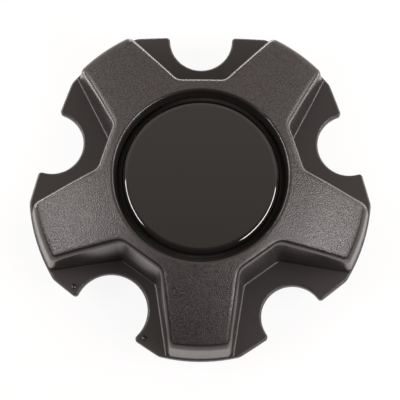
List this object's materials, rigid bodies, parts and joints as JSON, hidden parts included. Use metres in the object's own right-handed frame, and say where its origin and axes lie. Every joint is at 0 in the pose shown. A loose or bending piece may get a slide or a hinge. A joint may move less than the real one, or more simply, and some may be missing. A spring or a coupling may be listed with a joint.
{
  "type": "wheel centre cap",
  "caption": "Domed star-shaped plastic cap that covers a car wheel's hub, with a scalloped flange that clears the wheel bolts and a plain gloss disc set in its middle.",
  "frame": {"origin": "on the cap's axis, in the plane of the flange's underside that lies on the wheel", "axes": "+Z along the cap's axis, out of the wheel; +Y through the middle of the top scallop"},
  "size_m": [0.1174, 0.1138, 0.0365],
  "materials": {
    "cap_plastic": "black moulded plastic, fine spark grain on the star's top, smooth satin elsewhere",
    "badge_gloss": "plain gloss black, as moulded"
  },
  "bodies": {
    "root": {"cap_body": "cap_plastic", "badge": "badge_gloss"}
  },
  "joints": []
}
